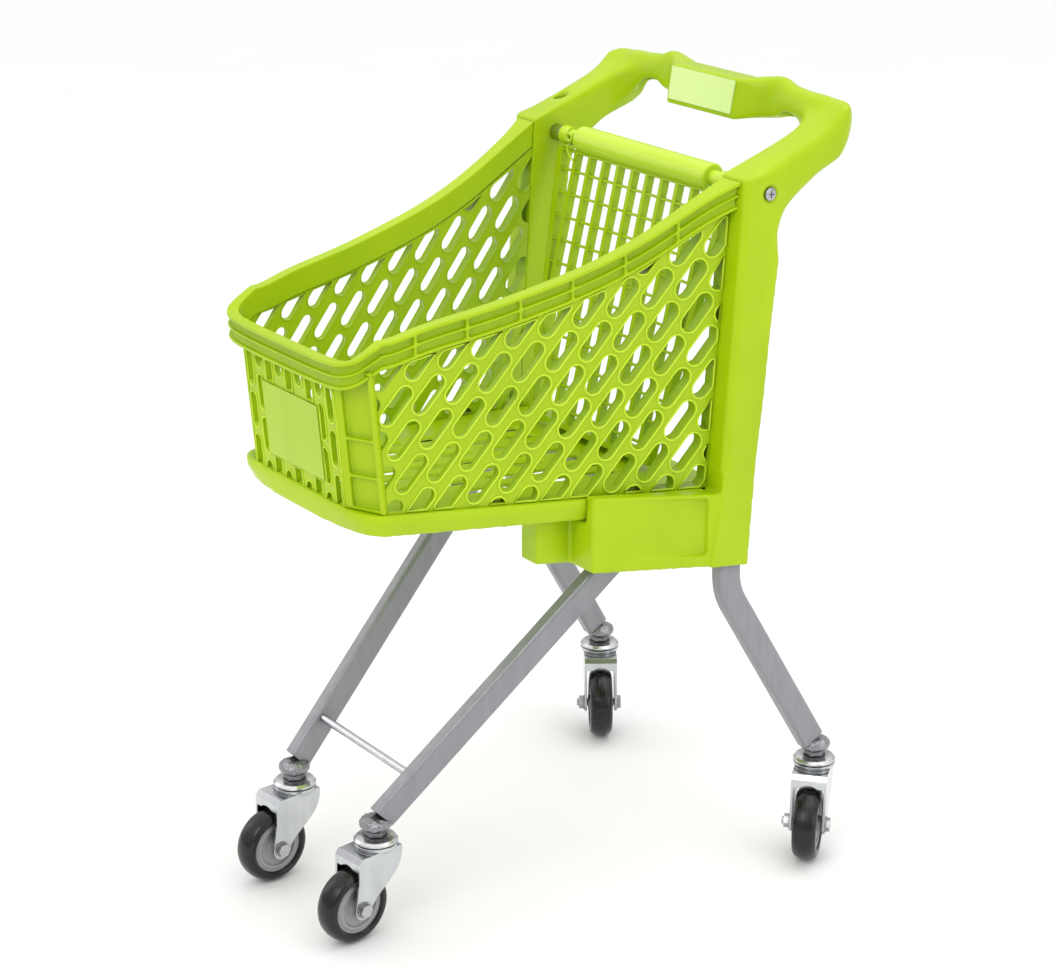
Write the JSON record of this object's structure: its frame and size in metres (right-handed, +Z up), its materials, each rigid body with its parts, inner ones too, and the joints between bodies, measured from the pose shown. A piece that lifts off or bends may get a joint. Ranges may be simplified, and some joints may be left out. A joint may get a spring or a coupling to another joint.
{
  "type": "shopping cart",
  "caption": "Child-size supermarket cart: slotted plastic basket with a hinged rear gate, moulded push handle, splayed tube legs and swivel casters.",
  "frame": {"origin": "on the floor, on the centre plane, under the middle of the cart (246 mm ahead of the rear caster stems)", "axes": "+Z up; the nose points to -Y and the person pushing stands on the +Y side; +X is the left-hand side of that person"},
  "size_m": [0.4425, 0.5574, 0.782],
  "materials": {
    "green_plastic": "satin moulded plastic, lime green",
    "grey_paint": "fine powder coat, mid grey",
    "stem_steel": "paint over a weld boss and nut",
    "zinc_plate": "bright zinc plating",
    "bolt_steel": "zinc-plated fastener",
    "hub_plastic": "moulded grey plastic",
    "black_tyre": "smooth polished black rubber"
  },
  "bodies": {
    "cart": {"column_left": "green_plastic", "column_right": "green_plastic", "corner_post_left": "green_plastic", "corner_post_right": "green_plastic", "cross_tube_front": "grey_paint", "cross_tube_rear": "grey_paint", "foot_box_left": "green_plastic", "foot_box_right": "green_plastic", "front_label_panel": "green_plastic", "front_leg_left": "grey_paint", "front_leg_right": "grey_paint", "front_rim": "green_plastic", "front_wall": "green_plastic", "gate_rod": "zinc_plate", "handle_bar": "green_plastic", "handle_plaque": "green_plastic", "pivot_screws": "bolt_steel", "race_front_left": "zinc_plate", "race_front_right": "zinc_plate", "race_rear_left": "zinc_plate", "race_rear_right": "zinc_plate", "rear_leg_left": "grey_paint", "rear_leg_right": "grey_paint", "side_rail_left": "grey_paint", "side_rail_right": "grey_paint", "side_rim_left": "green_plastic", "side_rim_right": "green_plastic", "side_wall_left": "green_plastic", "side_wall_right": "green_plastic", "stem_front_left": "stem_steel", "stem_front_right": "stem_steel", "stem_rear_left": "stem_steel", "stem_rear_right": "stem_steel", "tie_rod": "zinc_plate", "tray": "green_plastic", "tray_bolts": "bolt_steel"},
    "gate": {"gate_panel": "green_plastic", "gate_roll": "green_plastic"},
    "fork_front_left": {"fork_front_left": "zinc_plate", "axle_front_left": "bolt_steel", "axle_nut_front_left": "bolt_steel"},
    "wheel_front_left": {"hub_front_left": "hub_plastic", "tyre_front_left": "black_tyre"},
    "fork_front_right": {"fork_front_right": "zinc_plate", "axle_front_right": "bolt_steel", "axle_nut_front_right": "bolt_steel"},
    "wheel_front_right": {"hub_front_right": "hub_plastic", "tyre_front_right": "black_tyre"},
    "fork_rear_left": {"fork_rear_left": "zinc_plate", "axle_rear_left": "bolt_steel", "axle_nut_rear_left": "bolt_steel"},
    "wheel_rear_left": {"hub_rear_left": "hub_plastic", "tyre_rear_left": "black_tyre"},
    "fork_rear_right": {"fork_rear_right": "zinc_plate", "axle_rear_right": "bolt_steel", "axle_nut_rear_right": "bolt_steel"},
    "wheel_rear_right": {"hub_rear_right": "hub_plastic", "tyre_rear_right": "black_tyre"}
  },
  "joints": [
    {"name": "gate_hinge", "type": "hinge", "parent": "cart", "child": "gate", "pos_m": [0, 0.159, 0.6985], "axis": [-1, 0, 0], "range_deg": [0, 75]},
    {"name": "swivel_front_left", "type": "hinge", "parent": "cart", "child": "fork_front_left", "pos_m": [0.0762, -0.2162, 0.092], "axis": [0, 0, 1], "continuous": true},
    {"name": "spin_front_left", "type": "hinge", "parent": "fork_front_left", "child": "wheel_front_left", "pos_m": [0.08051, -0.2469, 0.0375], "axis": [0.9903, 0.1392, 0], "continuous": true},
    {"name": "swivel_front_right", "type": "hinge", "parent": "cart", "child": "fork_front_right", "pos_m": [-0.0762, -0.2162, 0.092], "axis": [0, 0, 1], "continuous": true},
    {"name": "spin_front_right", "type": "hinge", "parent": "fork_front_right", "child": "wheel_front_right", "pos_m": [-0.07296, -0.24703, 0.0375], "axis": [0.9945, 0.1045, 0], "continuous": true},
    {"name": "swivel_rear_left", "type": "hinge", "parent": "cart", "child": "fork_rear_left", "pos_m": [0.1834, 0.246, 0.092], "axis": [0, 0, 1], "continuous": true},
    {"name": "spin_rear_left", "type": "hinge", "parent": "fork_rear_left", "child": "wheel_rear_left", "pos_m": [0.20374, 0.2226, 0.0375], "axis": [0.7547, 0.6561, 0], "continuous": true},
    {"name": "swivel_rear_right", "type": "hinge", "parent": "cart", "child": "fork_rear_right", "pos_m": [-0.1834, 0.246, 0.092], "axis": [0, 0, 1], "continuous": true},
    {"name": "spin_rear_right", "type": "hinge", "parent": "fork_rear_right", "child": "wheel_rear_right", "pos_m": [-0.1577, 0.22867, 0.0375], "axis": [0.5592, 0.829, 0], "continuous": true}
  ]
}
